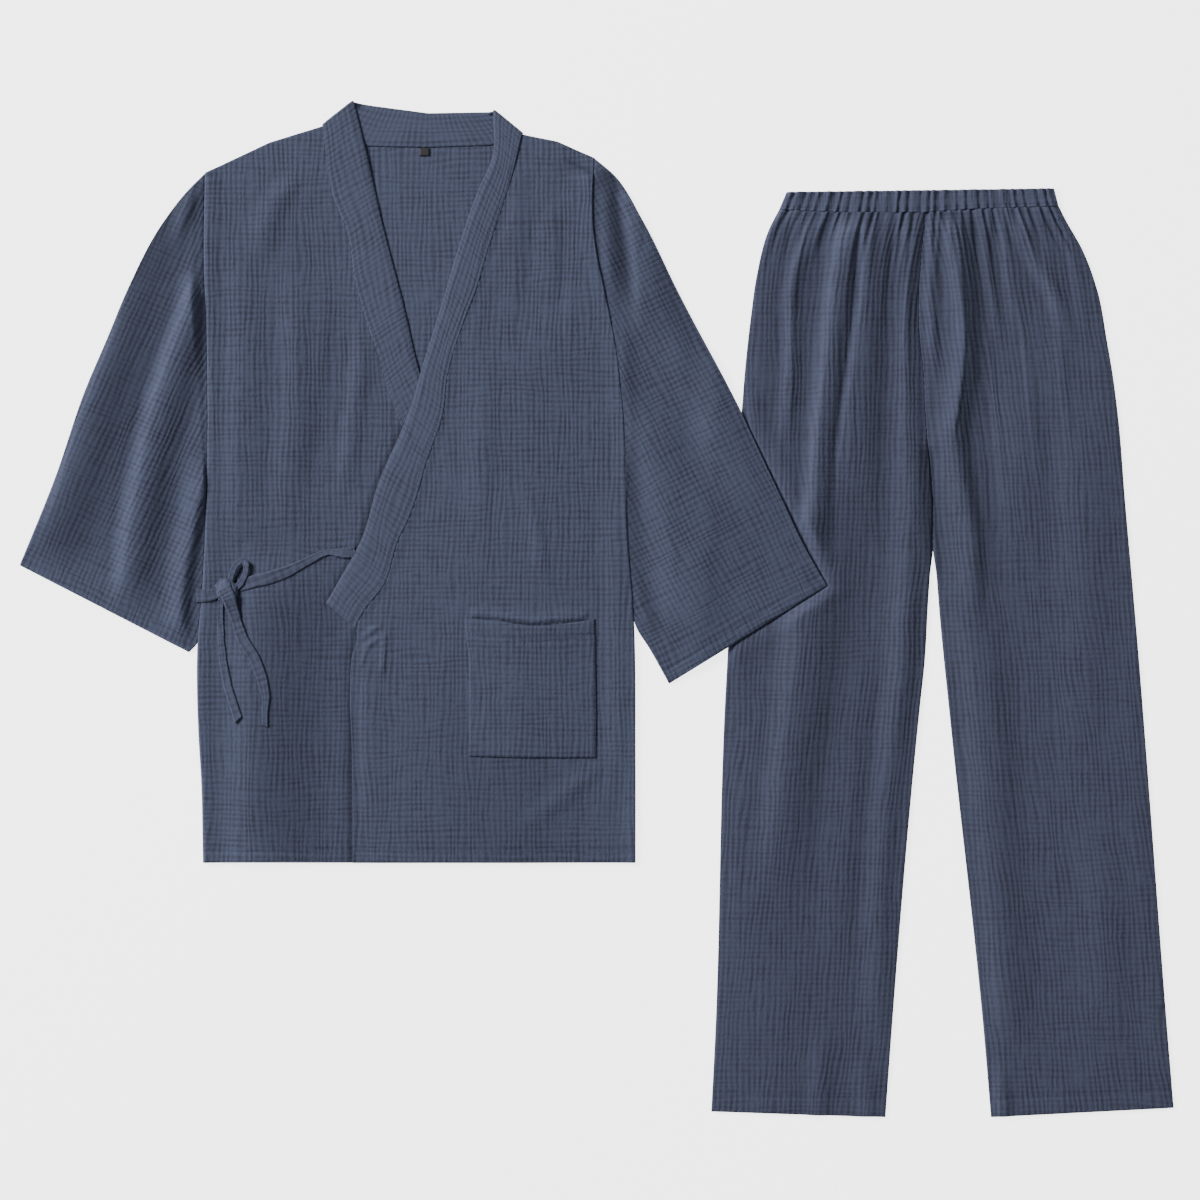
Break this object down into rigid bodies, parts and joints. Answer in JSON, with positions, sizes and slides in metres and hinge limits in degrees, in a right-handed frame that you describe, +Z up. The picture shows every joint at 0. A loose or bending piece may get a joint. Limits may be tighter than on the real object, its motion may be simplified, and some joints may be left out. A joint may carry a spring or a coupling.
{
  "type": "kimono pyjama set",
  "caption": "Kimono-style pyjama set laid flat: wide-sleeved wrap jacket tied at the side with a bow, patch pocket at the hip, and straight elastic-waist trousers under one sleeve.",
  "frame": {"origin": "middle of the box round the whole set, on the floor that it lies on", "axes": "+Z up from the floor, away from the flat garments; +Y from the hems towards the neck and the waist; +X across the set, from the jacket to the trousers"},
  "size_m": [1.2456, 1.0974, 0.0139],
  "materials": {
    "jacket_cloth": "matt crinkled cotton double gauze, slate blue",
    "band_cloth": "matt cotton double gauze folded double, slate blue",
    "trouser_cloth": "matt crinkled cotton double gauze, slate blue",
    "label": "plain black woven label, bare"
  },
  "bodies": {
    "root": {"jacket_back": "jacket_cloth", "jacket_right_front": "jacket_cloth", "jacket_left_front": "jacket_cloth", "jacket_right_sleeve": "jacket_cloth", "jacket_left_sleeve": "jacket_cloth", "hip_pocket": "jacket_cloth", "collar_band": "band_cloth", "front_tie": "band_cloth", "side_tie": "band_cloth", "tie_knot": "band_cloth", "tie_loop": "band_cloth", "tie_tail_short": "band_cloth", "tie_tail_long": "band_cloth", "neck_label": "label", "waistband": "trouser_cloth", "right_leg_front": "trouser_cloth", "right_leg_back": "trouser_cloth", "left_leg_front": "trouser_cloth", "left_leg_back": "trouser_cloth"}
  },
  "joints": []
}
